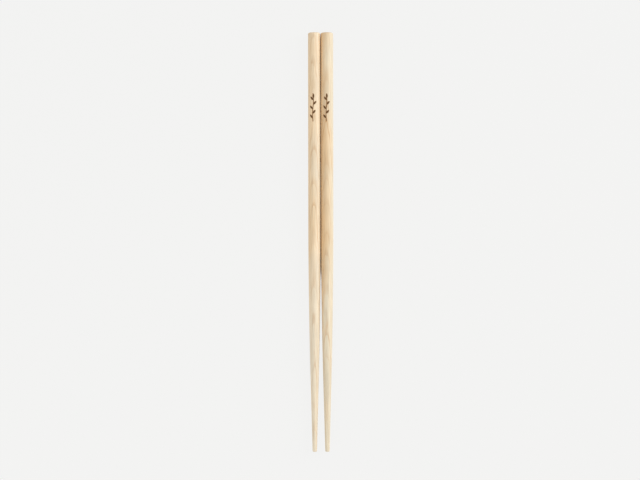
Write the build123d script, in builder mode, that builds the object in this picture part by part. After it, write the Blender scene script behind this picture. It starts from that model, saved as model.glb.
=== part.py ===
"""A pair of turned wooden chopsticks, lying side by side as they come to rest.

Both sticks lie along Y, with their butt ends towards +Y and their tips towards -Y. They rest
on Z = 0 along their straight shanks, so the tapered ends clear the surface, as real ones do.
The origin is on that surface, midway between the two sticks and midway along them.
"""

import os
from math import atan2, tan

from build123d import *

# One stick, in millimetres
length = 230.0  # from the butt face to the end of the tip
shank_diameter = 6.8  # the straight part that the hand holds
tip_diameter = 2.4  # the end of the cone, before its edge is rounded
taper_length = 83.0  # from the end of the tip to the corner where cone and shank would meet
blend_reach = 45.0  # how far the long curve over that corner runs along each of the two
butt_rounding = 0.9  # radius around the butt face
tip_rounding = 0.55  # radius around the end of the tip

# The pair
side_clearance = 0.15  # between the shanks, which lie loosely against each other

shank_radius = shank_diameter / 2
tip_radius = tip_diameter / 2
axis_spacing = shank_diameter + side_clearance

# The blend is an arc tangent to shank and cone, so its radius follows from how far it reaches
taper_angle = atan2(shank_radius - tip_radius, taper_length)
blend_radius = blend_reach / tan(taper_angle / 2)

os.makedirs("parts", exist_ok=True)

# The sticks are alike, so one turned form is made twice, once on each side of the middle
for name, axis_x in (("left_chopstick", -axis_spacing / 2), ("right_chopstick", axis_spacing / 2)):
    # This plane's X runs down the stick from the middle of its butt face, and its Y is the radius
    turning_plane = Plane(
        origin=(axis_x, length / 2, shank_radius), x_dir=(0, -1, 0), z_dir=(0, 0, 1)
    )

    with BuildPart() as chopstick:
        with BuildSketch(turning_plane):
            with BuildLine():
                profile = FilletPolyline(
                    (0, 0),
                    (0, shank_radius),
                    (length - taper_length, shank_radius),
                    (length, tip_radius),
                    (length, 0),
                    radius=[butt_rounding, blend_radius, tip_rounding],
                )
                Line(profile @ 1, profile @ 0)
            make_face()
        revolve(axis=Axis(turning_plane.origin, turning_plane.x_dir))

    chopstick.part.label = name
    export_step(chopstick.part, f"parts/{name}.step")
    print(f"{name}: {chopstick.part.volume:.1f} cubic mm, blend radius {blend_radius:.0f} mm")
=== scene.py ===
# %% [markdown]
# # A pair of turned cypress chopsticks
#
# The object is two loose sticks, each turned from one length of pale softwood: a flat butt end
# with a rounded edge, a straight shank for the hand, and a long taper to a slim, blunt tip. They
# lie side by side on a table, and the camera looks straight down on them.
#
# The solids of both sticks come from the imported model, which is a fixed frame. This lesson dresses
# them: it turns a finer surface of the same form, burns a small sprig into each shank, grows the
# wood as a solid texture, and then sets the table, the light and the camera.

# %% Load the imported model
import math

import bpy
import numpy as np
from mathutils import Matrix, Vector


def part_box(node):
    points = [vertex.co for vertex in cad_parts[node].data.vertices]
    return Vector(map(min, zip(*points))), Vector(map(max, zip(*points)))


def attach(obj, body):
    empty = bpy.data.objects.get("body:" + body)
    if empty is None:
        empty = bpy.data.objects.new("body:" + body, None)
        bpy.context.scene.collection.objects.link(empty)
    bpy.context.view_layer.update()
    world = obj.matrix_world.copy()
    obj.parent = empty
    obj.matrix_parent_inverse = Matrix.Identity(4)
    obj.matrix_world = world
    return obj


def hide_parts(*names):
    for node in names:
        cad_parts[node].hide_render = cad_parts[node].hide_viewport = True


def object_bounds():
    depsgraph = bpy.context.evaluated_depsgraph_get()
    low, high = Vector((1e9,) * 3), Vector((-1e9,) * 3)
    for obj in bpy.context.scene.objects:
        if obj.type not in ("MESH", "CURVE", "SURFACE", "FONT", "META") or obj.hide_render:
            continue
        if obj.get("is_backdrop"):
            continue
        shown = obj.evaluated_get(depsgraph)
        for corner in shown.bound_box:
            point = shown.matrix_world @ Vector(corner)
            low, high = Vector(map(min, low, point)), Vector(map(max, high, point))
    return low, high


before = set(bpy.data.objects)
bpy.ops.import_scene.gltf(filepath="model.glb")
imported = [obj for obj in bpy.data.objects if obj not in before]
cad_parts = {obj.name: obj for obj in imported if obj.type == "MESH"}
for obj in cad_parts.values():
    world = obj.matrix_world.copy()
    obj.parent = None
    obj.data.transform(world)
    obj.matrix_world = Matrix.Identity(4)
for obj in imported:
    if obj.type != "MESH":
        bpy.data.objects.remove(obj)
cad_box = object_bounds()
print("nodes in the frame:", sorted(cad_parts))

# %% [markdown]
# ## Sizes
#
# Blender works in metres and a maker of chopsticks in millimetres, so one small constant turns one
# into the other. The length, the thickness and the place of each stick are measured on its node.
# What a box can't tell, such as where the taper starts, is written here as the real size.

# %% Sizes of one stick
MM = 0.001
TIP_RADIUS = 1.2 * MM  # the end of the cone, before its edge is rounded
TAPER_LENGTH = 83.0 * MM  # from the tip to the corner where cone and shank would meet
BLEND_REACH = 45.0 * MM  # how far the long curve over that corner runs along each of them
BUTT_ROUNDING = 0.9 * MM
TIP_ROUNDING = 0.55 * MM

low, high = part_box("left_chopstick")
LENGTH = high.y - low.y
SHANK_RADIUS = (high.x - low.x) / 2
AXIS_HEIGHT = (low.z + high.z) / 2
BUTT_Y = high.y
print(f"each stick: {LENGTH / MM:.1f} mm long, {2 * SHANK_RADIUS / MM:.2f} mm thick")

# %% [markdown]
# ## The turned profile
#
# On a lathe the form is one outline, the radius at each distance from the butt face. A Screw
# modifier could spin a drawn outline, but the burnt sprig needs a surface that is fine in one place
# and coarse in the rest, so the radius is worked out by formula wherever a ring of points is wanted.
# The corners are arcs, and the one between shank and cone is so long that it is felt more than seen.

# %% Radius along the stick
CONE_ANGLE = math.atan2(SHANK_RADIUS - TIP_RADIUS, TAPER_LENGTH)
BLEND_RADIUS = BLEND_REACH / math.tan(CONE_ANGLE / 2)
BLEND_START = LENGTH - TAPER_LENGTH - BLEND_REACH
BLEND_END = LENGTH - TAPER_LENGTH + BLEND_REACH * math.cos(CONE_ANGLE)


def side_radius(along):
    """The radius of shank, blend and cone at a distance from the butt face, without end roundings."""
    if along < BLEND_START:
        return SHANK_RADIUS
    if along < BLEND_END:
        drop = BLEND_RADIUS - math.sqrt(BLEND_RADIUS**2 - (along - BLEND_START) ** 2)
        return SHANK_RADIUS - drop
    return TIP_RADIUS + (LENGTH - along) * math.tan(CONE_ANGLE)


print(f"blend radius {BLEND_RADIUS / MM:.0f} mm, from {BLEND_START / MM:.1f} to {BLEND_END / MM:.1f} mm")

# %% Rings of the two ends
FACE_STEPS = 4
ROUND_STEPS = 9


def butt_rings():
    """(distance from the butt face, radius) of the rings on that face and over its rounded edge."""
    face = SHANK_RADIUS - BUTT_ROUNDING
    found = [(0.0, face * k / FACE_STEPS) for k in range(1, FACE_STEPS)]
    for k in range(ROUND_STEPS):
        turn = math.pi / 2 * k / ROUND_STEPS
        found.append((BUTT_ROUNDING * (1 - math.cos(turn)), face + BUTT_ROUNDING * math.sin(turn)))
    return found


def tip_rings():
    """The same for the tip, whose edge turns from the slope of the cone to the flat end."""
    whole_turn = math.pi / 2 - CONE_ANGLE
    face = TIP_RADIUS - TIP_ROUNDING * math.tan(whole_turn / 2)
    found = []
    for k in range(ROUND_STEPS + 1):
        turn = CONE_ANGLE + whole_turn * k / ROUND_STEPS
        along = LENGTH - TIP_ROUNDING * (1 - math.sin(turn))
        found.append((along, face + TIP_ROUNDING * math.cos(turn)))
    return found + [(LENGTH, face * k / FACE_STEPS) for k in range(FACE_STEPS - 1, 0, -1)]


print(f"the cone ends {(LENGTH - tip_rings()[0][0]) / MM:.2f} mm before the end of the tip")

# %% Rings along the whole stick
COARSE_STEP = 4.0 * MM
BLEND_STEP = 2.0 * MM
FINE_STEP = 0.075 * MM
SPRIG_TOP = 33.6 * MM  # the stretch of the shank that holds the burnt sprig, from the butt face
SPRIG_BOTTOM = 48.8 * MM
SPRIG_MARGIN = 0.8 * MM  # how far the fine rings run past it


def spread(start, end, step):
    """Even places from start up to, but not including, end, about one step apart."""
    return list(np.linspace(start, end, max(1, round((end - start) / step)), endpoint=False))


def rings():
    """(distance from the butt face, radius) of every ring, in order."""
    butt, tip = butt_rings(), tip_rings()
    fine_start, fine_end = SPRIG_TOP - SPRIG_MARGIN, SPRIG_BOTTOM + SPRIG_MARGIN
    cone_end = tip[0][0]
    sides = spread(BUTT_ROUNDING, fine_start, COARSE_STEP)
    sides += spread(fine_start, fine_end, FINE_STEP)
    sides += spread(fine_end, BLEND_START, COARSE_STEP)
    sides += spread(BLEND_START, BLEND_END, BLEND_STEP)
    sides += spread(BLEND_END, cone_end, COARSE_STEP)
    return np.array(butt + [(along, side_radius(along)) for along in sides] + tip)


RINGS = rings()
print(len(RINGS), "rings from butt to tip")

# %% [markdown]
# ## The burnt sprig
#
# A hot iron has pressed a small sprig into each shank, near the butt: a stem with leaves that take
# turns left and right. An iron leaves a shallow dent with a charred floor and a scorched rim, so the
# sprig is a real dent in the mesh, and the measure that sinks the surface also tells the wood where
# it is burnt.
#
# That measure is a distance function. It says how far a point is from the sprig's edge, below zero
# inside, and whatever follows the edge, such as the dent's wall or the scorch, is a smooth step of
# it. A leaf is the overlap of two circles, the stem a gentle wave, and the sprig the nearest of them.

# %% Distance to the sprig
STEM_HALF_WIDTH = 0.19 * MM
STEM_SWAY = 0.25 * MM
LEAF_COUNT = 5
LEAF_SPACING = 2.45 * MM
FIRST_LEAF = 0.7  # of that spacing up from the foot of the stem
LEAF_HALF_LENGTH = 1.3 * MM
LEAF_HALF_WIDTH = 0.52 * MM
LEAF_LEAN = math.radians(40)
LEAF_ARC = (LEAF_HALF_LENGTH**2 + LEAF_HALF_WIDTH**2) / (2 * LEAF_HALF_WIDTH)


def stem_place(along):
    """How far the stem sways to the right of the sprig's middle line."""
    return STEM_SWAY * np.sin(2 * math.pi * (along - SPRIG_TOP) / (SPRIG_BOTTOM - SPRIG_TOP))


def leaf_distance(across, along, foot, lean):
    """Metres to the edge of one leaf, whose foot is on the stem and whose tip leans to one side."""
    right = across - stem_place(foot) - LEAF_HALF_LENGTH * math.sin(lean)
    up = foot - along - LEAF_HALF_LENGTH * math.cos(lean)
    wide = right * math.cos(lean) - up * math.sin(lean)
    tall = right * math.sin(lean) + up * math.cos(lean)
    return np.hypot(np.abs(wide) + LEAF_ARC - LEAF_HALF_WIDTH, tall) - LEAF_ARC


def sprig_distance(across, along):
    """Metres from each point of the unrolled shank to the edge of the sprig, negative inside."""
    middle, half = (SPRIG_TOP + SPRIG_BOTTOM) / 2, (SPRIG_BOTTOM - SPRIG_TOP) / 2
    nearest = np.maximum(
        np.abs(across - stem_place(along)) - STEM_HALF_WIDTH, np.abs(along - middle) - half
    )
    for k in range(LEAF_COUNT):
        foot = SPRIG_BOTTOM - (k + FIRST_LEAF) * LEAF_SPACING
        lean = LEAF_LEAN if k % 2 else -LEAF_LEAN
        nearest = np.minimum(nearest, leaf_distance(across, along, foot, lean))
    return np.minimum(nearest, leaf_distance(across, along, SPRIG_TOP + 2 * LEAF_HALF_LENGTH, 0))


print(f"sprig: {(SPRIG_BOTTOM - SPRIG_TOP) / MM:.1f} mm long, {LEAF_COUNT + 1} leaves")

# %% Dent and scorch from that distance
DENT_DEPTH = 0.13 * MM
DENT_WALL = 0.16 * MM
SCORCH_REACH = 0.45 * MM


def smooth_step(value, start, end):
    """0 before start and 1 after end, with an S-shaped rise between them."""
    t = np.clip((value - start) / (end - start), 0, 1)
    return t * t * (3 - 2 * t)


def dent(distance):
    """How far the surface is sunk, in metres."""
    return DENT_DEPTH * smooth_step(-distance, -DENT_WALL / 2, DENT_WALL / 2)


def scorch(distance):
    """1 on the charred floor of a dent, about a half at its edge, fading to 0 in the bare wood."""
    return smooth_step(-distance, -SCORCH_REACH, SCORCH_REACH)


print(f"the iron sinks {DENT_DEPTH / MM:.2f} mm and scorches {SCORCH_REACH / MM:.2f} mm around it")

# %% [markdown]
# ## The mesh
#
# Rings along the stick and columns around it make a grid of four-sided faces, closed by a fan of
# triangles at each end. The columns are close together under the sprig and wide apart elsewhere.
# The UV map gives the finer part of the grid more room, because the wood is baked through it when
# the model is exported. Its name, OFBake, is the one that the exporter looks for.

# %% Columns around the stick
FINE_COLUMN = 0.075 * MM
COARSE_COLUMN = 0.3 * MM
SPRIG_REACH = 2.5 * MM  # how far the fine columns run to each side of the sprig's middle line


def columns(sprig_turn):
    """Angles around the stick from straight up, positive to the right, starting at the sprig."""
    reach = SPRIG_REACH / SHANK_RADIUS
    fine = spread(sprig_turn - reach, sprig_turn + reach, FINE_COLUMN / SHANK_RADIUS)
    rest = spread(sprig_turn + reach, sprig_turn + 2 * math.pi - reach, COARSE_COLUMN / SHANK_RADIUS)
    return np.array(fine + rest)


print(len(columns(0)), "columns around a stick")


# %% Faces and their places on the map
def stick_faces(rows, count):
    """Faces between neighbouring rings, then a fan at the butt and one at the tip."""
    here = np.arange(rows * count).reshape(rows, count)
    beside = np.roll(here, -1, axis=1)
    sides = np.stack([here[:-1], here[1:], beside[1:], beside[:-1]], axis=-1).reshape(-1, 4)
    middle = np.full(count, rows * count)
    butt = np.stack([middle, here[0], beside[0]], axis=-1)
    tip = np.stack([middle + 1, beside[-1], here[-1]], axis=-1)
    return sides.tolist() + butt.tolist() + tip.tolist()


def shares(places):
    """Where each place falls on a side of the map, from 0 to 1: half by length and half by count."""
    by_length = (places - places[0]) / (places[-1] - places[0])
    by_count = np.linspace(0, 1, len(places))
    return (by_length + by_count) / 2


def stick_map(down, around):
    """The place on the map of each corner of those faces, in the same order."""
    top, left = np.meshgrid(down[1:-2], around[:-1], indexing="ij")
    bottom, right = np.meshgrid(down[2:-1], around[1:], indexing="ij")
    sides = np.stack([left, top, left, bottom, right, bottom, right, top], axis=-1)
    left, right = around[:-1], around[1:]
    level = np.ones_like(left)
    middle = (left + right) / 2
    butt = np.stack([middle, down[0] * level, left, down[1] * level, right, down[1] * level], axis=-1)
    tip = np.stack([middle, down[-1] * level, right, down[-2] * level, left, down[-2] * level], axis=-1)
    return np.concatenate([sides.ravel(), butt.ravel(), tip.ravel()])


print(len(stick_faces(len(RINGS), len(columns(0)))), "faces on a stick")


# %% Turn one stick
def turned_stick(name, node, sprig_turn):
    """A mesh of the same form and place as a CAD node, with the sprig pressed in at sprig_turn."""
    corner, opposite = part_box(node)
    axis_x = (corner.x + opposite.x) / 2
    turn = columns(sprig_turn)
    along = np.repeat(RINGS[:, :1], len(turn), axis=1)
    distance = sprig_distance((turn - sprig_turn) * SHANK_RADIUS, along)
    radius = RINGS[:, 1:] - dent(distance)
    x = axis_x + radius * np.sin(turn)
    z = AXIS_HEIGHT + radius * np.cos(turn)
    points = np.stack([x, BUTT_Y - along, z], axis=-1).reshape(-1, 3).tolist()
    points += [(axis_x, BUTT_Y, AXIS_HEIGHT), (axis_x, BUTT_Y - LENGTH, AXIS_HEIGHT)]

    mesh = bpy.data.meshes.new(name)
    mesh.from_pydata(points, [], stick_faces(len(RINGS), len(turn)))
    mesh.shade_smooth()
    burn = mesh.attributes.new("burn", "FLOAT", "POINT")
    burn.data.foreach_set("value", np.append(scorch(distance).ravel(), [0, 0]))

    outline = np.vstack([(0, 0), RINGS, (LENGTH, 0)])
    path = np.append(0, np.cumsum(np.hypot(*np.diff(outline, axis=0).T)))
    around = shares(np.append(turn, turn[0] + 2 * math.pi))
    layer = mesh.uv_layers.new(name="OFBake")
    layer.uv.foreach_set("vector", stick_map(shares(path), around))

    stick = bpy.data.objects.new(name, mesh)
    bpy.context.scene.collection.objects.link(stick)
    print(f"{name}: {len(mesh.vertices)} points, {len(mesh.polygons)} faces")
    return stick


# %% Both sticks, each in the place of its node
# Round sticks roll, so the sprig is not quite on top, and not at the same turn on both
LEFT_SPRIG_TURN = math.radians(-13)
RIGHT_SPRIG_TURN = math.radians(-6)

left_stick = turned_stick("left_turned_stick", "left_chopstick", LEFT_SPRIG_TURN)
right_stick = turned_stick("right_turned_stick", "right_chopstick", RIGHT_SPRIG_TURN)

for stick, node in ((left_stick, "left_chopstick"), (right_stick, "right_chopstick")):
    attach(stick, "root")
    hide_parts(node)

# %% Check of the formula against the solids
for node in ("left_chopstick", "right_chopstick"):
    corner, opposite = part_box(node)
    from_axis = Vector(((corner.x + opposite.x) / 2, BUTT_Y, AXIS_HEIGHT))
    worst = 0
    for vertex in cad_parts[node].data.vertices:
        across, along, up = vertex.co - from_axis
        if BUTT_ROUNDING < -along < LENGTH - TIP_ROUNDING:
            worst = max(worst, abs(math.hypot(across, up) - side_radius(-along)))
    print(f"{node}: the formula and the solid differ by at most {worst / MM:.4f} mm")

# %% [markdown]
# ## Japanese cypress, turned and sanded
#
# Cypress is a pale, fine softwood with little contrast between the seasons: cream early wood that
# darkens slowly to a thin tan line of late wood, then starts again. A stick is so thin that it
# crosses only a few growth rings, and because no stick runs quite true to the trunk, each ring leaves
# its surface in a long pointed flame. A flat picture wrapped around the stick can't do that, so the
# rings are a solid texture: distance from the heart of the log, which lies outside the stick and a
# little tilted against it. The end grain then shows the same rings as arcs.
#
# The colours are sRGB hex values, as a paint program shows them, and shaders work in linear light,
# so one function turns one into the other. One more adds a node, sets it and links it.

# %% Colour and node helpers
def linear(hex_colour):
    """An sRGB hex colour as the linear RGBA that shaders use."""
    channels = [int(hex_colour[k : k + 2], 16) / 255 for k in (1, 3, 5)]
    return tuple(c / 12.92 if c <= 0.04045 else ((c + 0.055) / 1.055) ** 2.4 for c in channels) + (1,)


def add(tree, kind, inputs, output=0, **settings):
    """Adds a node, sets its inputs to values or to other nodes' outputs, and returns one output."""
    made = tree.nodes.new("ShaderNode" + kind)
    for name, value in settings.items():
        setattr(made, name, value)
    for name, value in inputs.items():
        if isinstance(value, bpy.types.NodeSocket):
            tree.links.new(value, made.inputs[name])
        else:
            made.inputs[name].default_value = value
    return made.outputs[output]


# A Mix node has sockets of the same name for numbers, vectors and colours, so these go by number
MIX_FIRST, MIX_SECOND, MIXED = 6, 7, 2
print("a mid grey, #808080, is", round(linear("#808080")[0], 3), "in linear light")

# %% [markdown]
# ### Fibres, streaks and tone
#
# Softwood is a bundle of fibres that run along the trunk. They show as fine light and dark threads
# and as broader streaks, and over a few centimetres the tone drifts. Each of these is noise, and
# what turns noise into grain is its stretch: the place is divided by the size of the thing, long
# down the stick and thin across it, before the noise is read. Each size is a real one in millimetres.

# %% Noise that is stretched along the grain
FIBRE_SIZE = (0.36, 7.0, 0.36)  # mm, ten times as thick as real ones, which would not show
NOISE_RANGE = (0.3, 0.7)  # where nearly all values of the noise lie


def grain_noise(tree, place, size, values):
    """Noise whose lumps are about as large as size, in mm, spread over two values."""
    stretched = add(tree, "VectorMath", {0: place, 1: size}, operation="DIVIDE")
    noise = add(tree, "TexNoise", {"Vector": stretched, "Scale": 1.0, "Detail": 2.0})
    ends = {"From Min": NOISE_RANGE[0], "From Max": NOISE_RANGE[1], "To Min": values[0], "To Max": values[1]}
    return add(tree, "MapRange", {"Value": noise, **ends})


print(f"fibres are drawn {FIBRE_SIZE[0]} mm thick and {FIBRE_SIZE[1]} mm long")

# %% [markdown]
# ### Growth rings
#
# The distance from the heart is measured with a cross product, which gives how far a point is from
# a line. Noise makes the rings wander a little, as a trunk does, and a second noise that depends on
# the distance alone makes some years wider than others. What is left over after whole years tells
# the season, and a slow rise with a sudden fall makes late wood of it.

# %% Distance to the heart of the log
WANDER_SIZE = (4.0, 18.0, 4.0)  # mm, how far apart the wanderings of a ring are
WANDER = 1.2  # mm, of which noise uses about the middle half
YEARS_ALIKE = 1.9  # mm of log after which the width of the years has changed
UNEVEN_YEARS = 0.9  # mm, the most by which wide and narrow years move a ring


def heart_distance(tree, place, heart, grain):
    """Millimetres of growth from the axis of the log, which goes through heart along grain."""
    from_heart = add(tree, "VectorMath", {0: place, 1: heart}, operation="SUBTRACT")
    to_axis = add(tree, "VectorMath", {0: from_heart, 1: grain}, operation="CROSS_PRODUCT")
    distance = add(tree, "VectorMath", {0: to_axis}, "Value", operation="LENGTH")
    wander_place = add(tree, "VectorMath", {0: place, 1: WANDER_SIZE}, operation="DIVIDE")
    wander = add(tree, "TexNoise", {"Vector": wander_place, "Scale": 1.0, "Detail": 2.0})
    wandered = add(tree, "Math", {0: wander, 1: WANDER, 2: distance}, operation="MULTIPLY_ADD")
    years_place = add(tree, "Math", {0: wandered, 1: YEARS_ALIKE}, operation="DIVIDE")
    years = add(tree, "TexNoise", {"W": years_place, "Scale": 1.0, "Detail": 0.0}, noise_dimensions="1D")
    return add(tree, "Math", {0: years, 1: UNEVEN_YEARS, 2: wandered}, operation="MULTIPLY_ADD")


print(f"a ring wanders by about {WANDER / 2} mm over {WANDER_SIZE[1]} mm of stick")

# %% Late wood
RING_WIDTH = 0.8  # mm of growth in a year
LATE_RISE = (0.45, 0.94)  # shares of a year
LATE_FALL = (0.96, 1.0)
WEAKEST_YEAR = 0.15  # how strong its late wood is, beside 1 in the strongest
PATCH_SIZE = (2.4, 9.0, 2.4)  # mm, beyond which a ring may show or hide
PATCH_SHOWS = (0.2, 1.0)  # how much of it is left where it hides, and where it shows


def late_wood(tree, place, distance):
    """0 in early wood to 1 in the late wood of a strong year, here and there faded."""
    year = add(tree, "Math", {0: distance, 1: RING_WIDTH}, operation="DIVIDE")
    season = add(tree, "Math", {0: year}, operation="FRACT")
    rise = {"Value": season, "From Min": LATE_RISE[0], "From Max": LATE_RISE[1]}
    fall = {"Value": season, "From Min": LATE_FALL[1], "From Max": LATE_FALL[0]}
    rising = add(tree, "MapRange", rise, interpolation_type="SMOOTHSTEP")
    falling = add(tree, "MapRange", fall, interpolation_type="SMOOTHSTEP")
    line = add(tree, "Math", {0: rising, 1: falling}, operation="MULTIPLY")
    whole_year = add(tree, "Math", {0: year}, operation="FLOOR")
    weather = add(tree, "TexWhiteNoise", {"W": whole_year}, noise_dimensions="1D")
    strength = add(tree, "MapRange", {"Value": weather, "To Min": WEAKEST_YEAR})
    strong = add(tree, "Math", {0: line, 1: strength}, operation="MULTIPLY")
    patch = grain_noise(tree, place, PATCH_SIZE, PATCH_SHOWS)
    return add(tree, "Math", {0: strong, 1: patch}, operation="MULTIPLY")


print("about", round(2 * SHANK_RADIUS / MM / RING_WIDTH), "growth rings across a shank")

# %% [markdown]
# ### End grain
#
# On the butt face and the blunt tip the fibres are cut across. They drink in the light there, so end
# grain is darker and warmer, and its rings stand out more. It could be a second material on those
# faces, but then it would stop at a hard line. Here the surface itself says how squarely it cuts the
# fibres, so the rounded edges run from one to the other.

# %% End grain
CUT_ACROSS = (0.75, 1.0)  # how much a surface faces along the stick where end grain starts and is full


def end_grain(tree):
    """0 along the side of a stick and 1 where the fibres are cut across."""
    normal = add(tree, "TexCoord", {}, "Normal")
    along = add(tree, "SeparateXYZ", {0: normal}, "Y")
    squarely = add(tree, "Math", {0: along}, operation="ABSOLUTE")
    return add(tree, "MapRange", {"Value": squarely, "From Min": CUT_ACROSS[0], "From Max": CUT_ACROSS[1]})


starts = 90 - math.degrees(math.acos(CUT_ACROSS[0]))
print(f"end grain starts where the rounding has turned {starts:.0f} degrees from the side")

# %% [markdown]
# ### The whole finish
#
# The wood's colour is built in the order in which it grew and was worked: heartwood that pales to
# sapwood, late wood, streaks and fibres, end grain, then the iron's scorch and char. The sapwood is
# put on the right of each stick, the side the soft box lights, so its pale tone is partly painted
# sheen. Sanded bare wood is dull but not chalky, so its roughness is about one half with an IOR near
# 1.5, and char is duller. The fibres also make a bump of a few hundredths of a millimetre, which
# breaks up the sheen.

# %% Colour of the bare wood
LATE_TAN = "#cb9c66"
LATE_SHARES = (0.85, 1.0)  # of that tan in late wood, along the side and across the end
END_GRAIN_TINT = "#ead3b8"
TONE_SIZE = (8.0, 28.0, 8.0)  # mm
TONE_DRIFT = (-2.0, 2.0)  # mm by which the tone drifts towards heartwood or sapwood
SAP_AND_SHEEN_REACH = 3.2  # mm each side of the middle from heartwood to sapwood and painted sheen
SAP_AND_SHEEN_SHIFT = 5.0  # mm by which that moves over on the way to the tip, so the taper is paler
SAP_AND_SHEEN_SHIFT_RANGE = (0.0, -45.0)  # mm from the middle of the stick's length
STREAK_SIZE = (0.8, 30.0, 0.8)  # mm
STREAK_SHADE = (0.91, 1.06)  # what the darkest and the palest streak multiply the colour by
FIGURE_SIZE = (7.0, 16.0, 7.0)  # mm
FIGURE_SHADE = (0.96, 1.04)


def wood_colour(tree, place, heart, distance, fibre, heartwood, sapwood_and_sheen):
    """Heartwood to sapwood and painted sheen, with late wood, streaks, fibres, figure and end grain."""
    drift = grain_noise(tree, place, TONE_SIZE, TONE_DRIFT)
    parts = add(tree, "SeparateXYZ", {0: place}).node.outputs
    down = add(tree, "Math", {0: parts["Y"], 1: heart[1]}, operation="SUBTRACT")
    stretch = {"From Min": SAP_AND_SHEEN_SHIFT_RANGE[0], "From Max": SAP_AND_SHEEN_SHIFT_RANGE[1], "To Max": SAP_AND_SHEEN_SHIFT}
    nearer = add(tree, "MapRange", {"Value": down, **stretch}, interpolation_type="SMOOTHSTEP")
    outward = add(tree, "Math", {0: parts["X"], 1: nearer}, operation="ADD")
    drifted = add(tree, "Math", {0: outward, 1: drift}, operation="ADD")
    # Paler towards the right, the side the soft box lights: sapwood, and partly painted sheen
    sap_and_sheen = add(tree, "MapRange", {"Value": drifted, "From Min": -SAP_AND_SHEEN_REACH, "From Max": SAP_AND_SHEEN_REACH})
    early = {0: sap_and_sheen, MIX_FIRST: linear(heartwood), MIX_SECOND: linear(sapwood_and_sheen)}
    colour = add(tree, "Mix", early, MIXED, data_type="RGBA")
    cut = end_grain(tree)
    share = add(tree, "MapRange", {"Value": cut, "To Min": LATE_SHARES[0], "To Max": LATE_SHARES[1]})
    late = add(tree, "Math", {0: late_wood(tree, place, distance), 1: share}, operation="MULTIPLY")
    ringed = {0: late, MIX_FIRST: colour, MIX_SECOND: linear(LATE_TAN)}
    colour = add(tree, "Mix", ringed, MIXED, data_type="RGBA")
    streak = grain_noise(tree, place, STREAK_SIZE, STREAK_SHADE)
    figure = grain_noise(tree, place, FIGURE_SIZE, FIGURE_SHADE)
    for shade in (streak, fibre, figure):
        colour = add(tree, "VectorMath", {0: colour, "Scale": shade}, operation="SCALE")
    darkened = {0: cut, MIX_FIRST: colour, MIX_SECOND: linear(END_GRAIN_TINT)}
    return add(tree, "Mix", darkened, MIXED, data_type="RGBA", blend_type="MULTIPLY")


print("late wood", LATE_TAN, "and end grain tint", END_GRAIN_TINT)

# %% Scorch and char
SCORCH_TAN = "#a9733d"
CHAR_BROWNS = ("#4c351a", "#6a4d28")
CHAR_STREAK_SIZE = (0.25, 1.8, 0.25)  # mm
RAGGED_SIZE = (0.30, 0.45, 0.30)  # mm
RAGGED = (-0.12, 0.12)  # what noise adds to the burn, so that its edges don't look drawn
SCORCHED = (0.18, 0.6)  # how burnt the wood is where the tan starts and is full
CHARRED = (0.45, 0.75)  # the same for the char


def burnt_colour(tree, place, colour):
    """The bare wood's colour with the iron's mark in it, and how charred it is from 0 to 1."""
    burn = add(tree, "Attribute", {}, "Fac", attribute_name="burn")
    ragged = grain_noise(tree, place, RAGGED_SIZE, RAGGED)
    burnt = add(tree, "Math", {0: burn, 1: ragged}, operation="ADD")
    scorched = add(tree, "MapRange", {"Value": burnt, "From Min": SCORCHED[0], "From Max": SCORCHED[1]})
    charred = add(tree, "MapRange", {"Value": burnt, "From Min": CHARRED[0], "From Max": CHARRED[1]})
    tanned = {0: scorched, MIX_FIRST: colour, MIX_SECOND: linear(SCORCH_TAN)}
    tan = add(tree, "Mix", tanned, MIXED, data_type="RGBA")
    streak = grain_noise(tree, place, CHAR_STREAK_SIZE, (0, 1))
    browns = {0: streak, MIX_FIRST: linear(CHAR_BROWNS[0]), MIX_SECOND: linear(CHAR_BROWNS[1])}
    char = add(tree, "Mix", browns, MIXED, data_type="RGBA")
    blackened = {0: charred, MIX_FIRST: tan, MIX_SECOND: char}
    return add(tree, "Mix", blackened, MIXED, data_type="RGBA"), charred


print("the iron tans to", SCORCH_TAN, "and chars to", *CHAR_BROWNS)

# %% Cypress wood for one stick
FIBRE_SHADE = (0.93, 1.05)
FIBRE_HEIGHT = 0.05 * MM
WOOD_ROUGHNESS = 0.52
CHAR_ROUGHNESS = 0.8
WOOD_IOR = 1.45


def cypress(name, middle, heart, grain, heartwood, sapwood_and_sheen):
    """Turned and sanded cypress: cream and silky, with tan flames along it and dull char in the sprig."""
    material = bpy.data.materials.new(name)
    material.use_nodes = True
    tree = material.node_tree

    # Millimetres from the middle of the stick, but lengthwise from the foot of the log
    metres = add(tree, "TexCoord", {}, "Object")
    shift = (-middle.x / MM, heart[1] - middle.y / MM, -middle.z / MM)
    place = add(tree, "VectorMath", {0: metres, 1: (1 / MM,) * 3, 2: shift}, operation="MULTIPLY_ADD")
    fibre = grain_noise(tree, place, FIBRE_SIZE, FIBRE_SHADE)
    distance = heart_distance(tree, place, heart, grain)
    bare = wood_colour(tree, place, heart, distance, fibre, heartwood, sapwood_and_sheen)
    colour, charred = burnt_colour(tree, place, bare)

    dull = {"Value": charred, "To Min": WOOD_ROUGHNESS, "To Max": CHAR_ROUGHNESS}
    shader = tree.nodes["Principled BSDF"].inputs
    shader["IOR"].default_value = WOOD_IOR
    tree.links.new(colour, shader["Base Color"])
    tree.links.new(add(tree, "MapRange", dull), shader["Roughness"])
    tree.links.new(add(tree, "Bump", {"Height": fibre, "Distance": FIBRE_HEIGHT}), shader["Normal"])
    print(f"{name}: {len(tree.nodes)} nodes")
    return material


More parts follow.
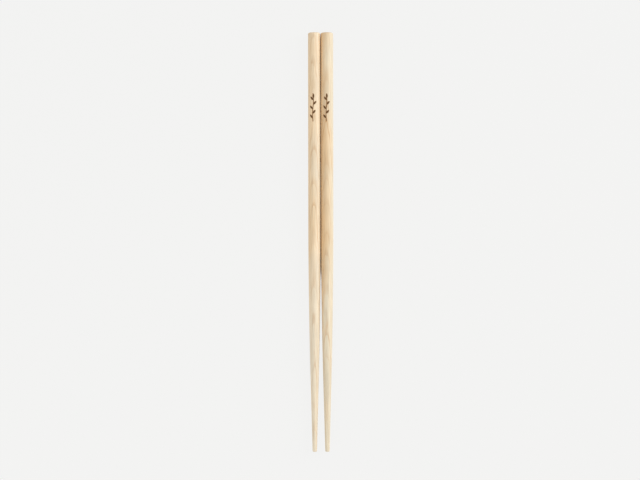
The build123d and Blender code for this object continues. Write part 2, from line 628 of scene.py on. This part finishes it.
# %% Wood on both sticks, from two different places in the log
# How far the heart of the log is from the stick's middle, across and up, in mm. The number between
# them is how far up the log the stick was cut, which gives it a grain of its own
LEFT_HEART = (3.0, 2800.0, -37.0)
RIGHT_HEART = (4.0, 4930.0, -34.0)
LEFT_GRAIN = (0.006, 1.0, 0.050)  # along the log: its slope across the stick, then up
RIGHT_GRAIN = (-0.008, 1.0, 0.056)
LEFT_TONES = ("#f1d5ae", "#eddec4")  # heartwood, and sapwood with painted sheen, of the paler stick
RIGHT_TONES = ("#e7c598", "#e6d8bd")

woods = (
    (left_stick, "left_chopstick", LEFT_HEART, LEFT_GRAIN, LEFT_TONES),
    (right_stick, "right_chopstick", RIGHT_HEART, RIGHT_GRAIN, RIGHT_TONES),
)
for stick, node, heart, grain, tones in woods:
    corner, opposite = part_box(node)
    middle = (corner + opposite) / 2
    stick.data.materials.append(cypress("sanded_cypress_" + node.split("_")[0], middle, heart, grain, *tones))

# %% [markdown]
# ## The table
#
# A plain pale board under the sticks catches their shadow. It is far larger than the picture, so no
# edge of it shows from above. Most of what the camera sees of it is its own pale colour as a glow,
# which lights nothing, so a shadow stays as light as in a bright studio. What shines or lets light
# through would show the same background as the camera does.
#
# Next to no light gets in between the two shanks, or under their round sides. There the glow fades
# and the board shows its true shade, so the slit is dark and the sticks sit firmly on the board.
# Where they taper apart, the board between them glows fully again, painted light over the shade that
# still falls there, and as they taper away from the board, the glow comes back beside them, so their
# shade there fades.

# %% Where the board glows
BOARD_GLOW = 0.95  # the share of glow in what shows of the board, far from the sticks
# Where the glow starts and where it is full, from the middle line between the sticks
SHADE_ACROSS = (4.4 * MM, 6.8 * MM)
GAP_ACROSS = (3.5 * MM, 2.4 * MM)  # in the gap between the tapers
# The same down the sticks, from their butt faces
SHADE_BUTT = (3.0 * MM, 0.0)
SHADE_TIP = (126.0 * MM, 200.0 * MM)
SHADE_GAP = (128.0 * MM, 137.0 * MM)


def glow_share(tree):
    """How much of the board is glow: none under and between the shanks, and nearly all further out."""
    place = add(tree, "SeparateXYZ", {0: add(tree, "TexCoord", {}, "Object")}).node.outputs
    aside = add(tree, "Math", {0: place["X"]}, operation="ABSOLUTE")
    down = add(tree, "Math", {0: BUTT_Y, 1: place["Y"]}, operation="SUBTRACT")
    share = BOARD_GLOW
    # Between the tapers the board glows fully: painted light over the shade that falls there
    for distance, (dark, bright) in ((aside, GAP_ACROSS), (down, SHADE_GAP)):
        fade = {"Value": distance, "From Min": dark, "From Max": bright}
        glowing = add(tree, "MapRange", fade, interpolation_type="SMOOTHSTEP")
        share = add(tree, "Math", {0: share, 1: glowing}, operation="MULTIPLY")
    for distance, (dark, bright) in ((aside, SHADE_ACROSS), (down, SHADE_BUTT), (down, SHADE_TIP)):
        fade = {"Value": distance, "From Min": dark, "From Max": bright, "To Max": BOARD_GLOW}
        glowing = add(tree, "MapRange", fade, interpolation_type="SMOOTHSTEP")
        share = add(tree, "Math", {0: share, 1: glowing}, operation="MAXIMUM")
    return share


print(f"beside the sticks the board glows fully from {SHADE_ACROSS[1] / MM:.1f} mm off the middle line")

# %% Matt white board
BOARD_WHITE = "#f3f3f2"


def background_rays(tree):
    """1 for a ray that shows the background: from the camera, a glossy one or one through glass."""
    rays = add(tree, "LightPath", {}).node.outputs
    shown = add(tree, "Math", {0: rays["Is Camera Ray"], 1: rays["Is Glossy Ray"]}, operation="MAXIMUM")
    return add(tree, "Math", {0: shown, 1: rays["Is Transmission Ray"]}, operation="MAXIMUM")


white_board = bpy.data.materials.new("matt_white_board")
white_board.use_nodes = True
tree = white_board.node_tree
glow = add(tree, "Math", {0: background_rays(tree), 1: glow_share(tree)}, operation="MULTIPLY")
matt = add(tree, "BsdfDiffuse", {"Color": linear(BOARD_WHITE)})
bright = add(tree, "Emission", {"Color": linear(BOARD_WHITE)})
both = add(tree, "MixShader", {0: glow, 1: matt, 2: bright})
tree.links.new(both, tree.nodes["Material Output"].inputs["Surface"])
tree.nodes.remove(tree.nodes["Principled BSDF"])
print(f"{white_board.name}: {len(tree.nodes)} nodes")

# %% Board under the sticks
BOARD_SIDE = 8.0  # m

board_mesh = bpy.data.meshes.new("pale_board")
corners = [(x * BOARD_SIDE / 2, y * BOARD_SIDE / 2, 0) for x, y in ((-1, -1), (1, -1), (1, 1), (-1, 1))]
board_mesh.from_pydata(corners, [], [(0, 1, 2, 3)])
board_mesh.materials.append(white_board)
board = bpy.data.objects.new("pale_board", board_mesh)
bpy.context.scene.collection.objects.link(board)
board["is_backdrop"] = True
print("board:", BOARD_SIDE, "m square")

# %% [markdown]
# ## Light
#
# A studio for small goods is mostly white walls, which is the world here: the same pale light from
# all sides. One large soft box stands low on the right, a little past the butt ends, and models the
# round of the shanks. A small white card beside the tips, on the left, sends some light back, so that
# the shade between the tapering ends stays open. Together they light a face that looks straight up at
# a level of about one, at which a colour renders as it is written.

# %% White room
ROOM_LIGHT = 0.73
LIT_LEVEL, SHOWN_LEVEL = 2, 3  # a Mix node's sockets for numbers

world = bpy.data.worlds.new("white_room")
bpy.context.scene.world = world
world.use_nodes = True
tree = world.node_tree
levels = {LIT_LEVEL: ROOM_LIGHT, SHOWN_LEVEL: linear(BOARD_WHITE)[0]}
level = add(tree, "Mix", {0: background_rays(tree), **levels})
tree.nodes["Background"].inputs["Color"].default_value = (1, 1, 1, 1)
tree.links.new(level, tree.nodes["Background"].inputs["Strength"])
print("the room lights the table at a level of", ROOM_LIGHT)

# %% Soft box and white card
BOX_LIGHT = 0.52  # on a face that looks straight at it
BOX_DIRECTION = (0.80, 0.36, 0.46)
BOX_DISTANCE = 1.4  # m
BOX_SIDE = 0.8  # m
CARD_LIGHT = 0.14  # the same, at the tips
CARD_DIRECTION = (-0.62, -0.45, 0.64)
CARD_DISTANCE = 0.35  # m
CARD_SIDE = 0.25  # m


def soft_light(name, target, direction, distance, side, level):
    """A square lamp that lights a face at the target at this level, if the face looks straight at it."""
    towards = Vector(direction).normalized()
    lamp = bpy.data.lights.new(name, "AREA")
    lamp.size = side
    # A lamp of P watts lights such a face, at d metres, at the level P / (pi d) ** 2
    lamp.energy = level * (math.pi * distance) ** 2
    light = bpy.data.objects.new(name, lamp)
    light.location = target + towards * distance
    light.rotation_euler = towards.to_track_quat("Z", "Y").to_euler()
    bpy.context.scene.collection.objects.link(light)
    print(f"{name}: {lamp.energy:.2f} W, {towards.z * level:.2f} on the table")


tips = Vector((0, BUTT_Y - LENGTH, 0))
soft_light("soft_box", Vector(), BOX_DIRECTION, BOX_DISTANCE, BOX_SIDE, BOX_LIGHT)
soft_light("white_card", tips, CARD_DIRECTION, CARD_DISTANCE, CARD_SIDE, CARD_LIGHT)

# %% [markdown]
# ## Camera and picture
#
# The picture looks straight down, with the butt ends at the top. A long lens keeps the sticks
# parallel. How many pixels long the pair is, where its middle falls and how far it leans give the
# camera's height, place and roll.

# %% Camera straight above
PICTURE_WIDTH, PICTURE_HEIGHT = 640, 480
PAIR_LENGTH_PX = 418.9
PAIR_MIDDLE_PX = (320.85, 242.2)
PAIR_LEAN = math.radians(0.08)  # of the butt ends to the left
LENS = 100.0  # mm

pixel = LENGTH / PAIR_LENGTH_PX
camera = bpy.data.cameras.new("camera")
camera.sensor_fit = "HORIZONTAL"
camera.lens = LENS
rise = LENS / camera.sensor_width * PICTURE_WIDTH * pixel
viewer = bpy.data.objects.new("camera", camera)
viewer.location = (
    (PICTURE_WIDTH / 2 - PAIR_MIDDLE_PX[0]) * pixel,
    (PAIR_MIDDLE_PX[1] - PICTURE_HEIGHT / 2) * pixel,
    AXIS_HEIGHT + rise,
)
viewer.rotation_euler.z = -PAIR_LEAN
bpy.context.scene.collection.objects.link(viewer)
bpy.context.scene.camera = viewer
bpy.context.scene.view_settings.view_transform = "Standard"
print(f"camera {rise:.3f} m above the sticks, {pixel / MM:.3f} mm to a pixel")

boxes = {"cad": cad_box, "visual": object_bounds()}
for name, (corner, opposite) in boxes.items():
    print(name, "box in mm:", [round(side / MM, 2) for side in opposite - corner])
